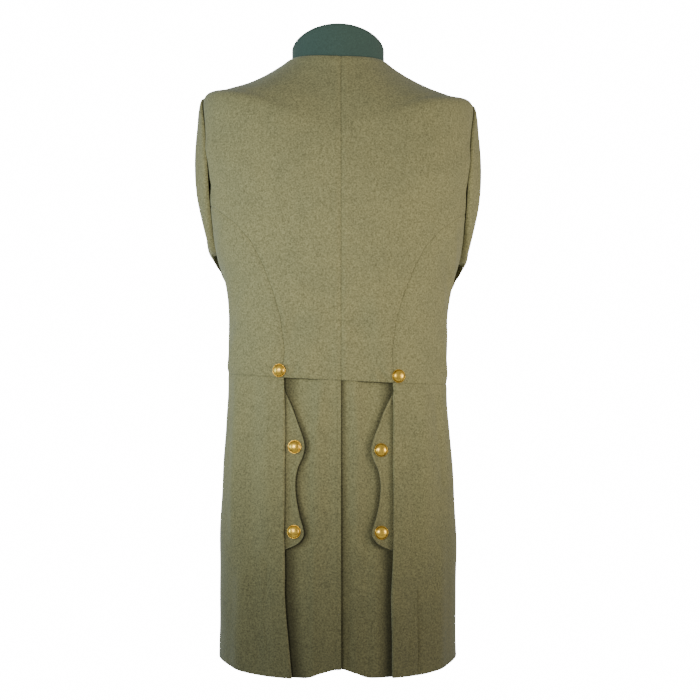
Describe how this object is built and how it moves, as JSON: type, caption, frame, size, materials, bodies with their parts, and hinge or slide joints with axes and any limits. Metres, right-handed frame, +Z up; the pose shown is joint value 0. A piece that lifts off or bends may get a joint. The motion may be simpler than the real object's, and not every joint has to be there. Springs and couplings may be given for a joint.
{
  "type": "frock coat",
  "caption": "Frock coat, filled out and empty: stand collar, curved back seams, waist seam, skirts with side pleats, scalloped tail flaps and domed buttons.",
  "frame": {"origin": "inside the collar at the base of the neck, midway between the two points where the shoulder seams meet it, where the wearer carries the coat", "axes": "+Z up along the wearer, -Y to the wearer's front, +X to the wearer's left"},
  "size_m": [0.4374, 0.2994, 0.9572],
  "materials": {
    "wool": "milled olive grey-green wool, matt with a pale sheen at grazing angles",
    "collar_cloth": "smooth dark green facing cloth",
    "brass": "stamped and gilt, worn bright"
  },
  "bodies": {
    "root": {"back_left": "wool", "back_right": "wool", "side_body_left": "wool", "side_body_right": "wool", "forepart_left": "wool", "forepart_right": "wool", "skirt_front_left": "wool", "skirt_front_right": "wool", "skirt_back_left": "wool", "skirt_back_right": "wool", "tail_flap_left": "wool", "tail_flap_right": "wool", "sleeve_top_left": "wool", "sleeve_top_right": "wool", "sleeve_under_left": "wool", "sleeve_under_right": "wool", "collar": "collar_cloth", "button_waist_left": "brass", "button_waist_right": "brass", "button_flap_upper_left": "brass", "button_flap_upper_right": "brass", "button_flap_lower_left": "brass", "button_flap_lower_right": "brass", "button_front_1": "brass", "button_front_2": "brass", "button_front_3": "brass", "button_front_4": "brass", "button_front_5": "brass", "button_front_6": "brass", "button_front_7": "brass", "button_front_8": "brass"}
  },
  "joints": []
}
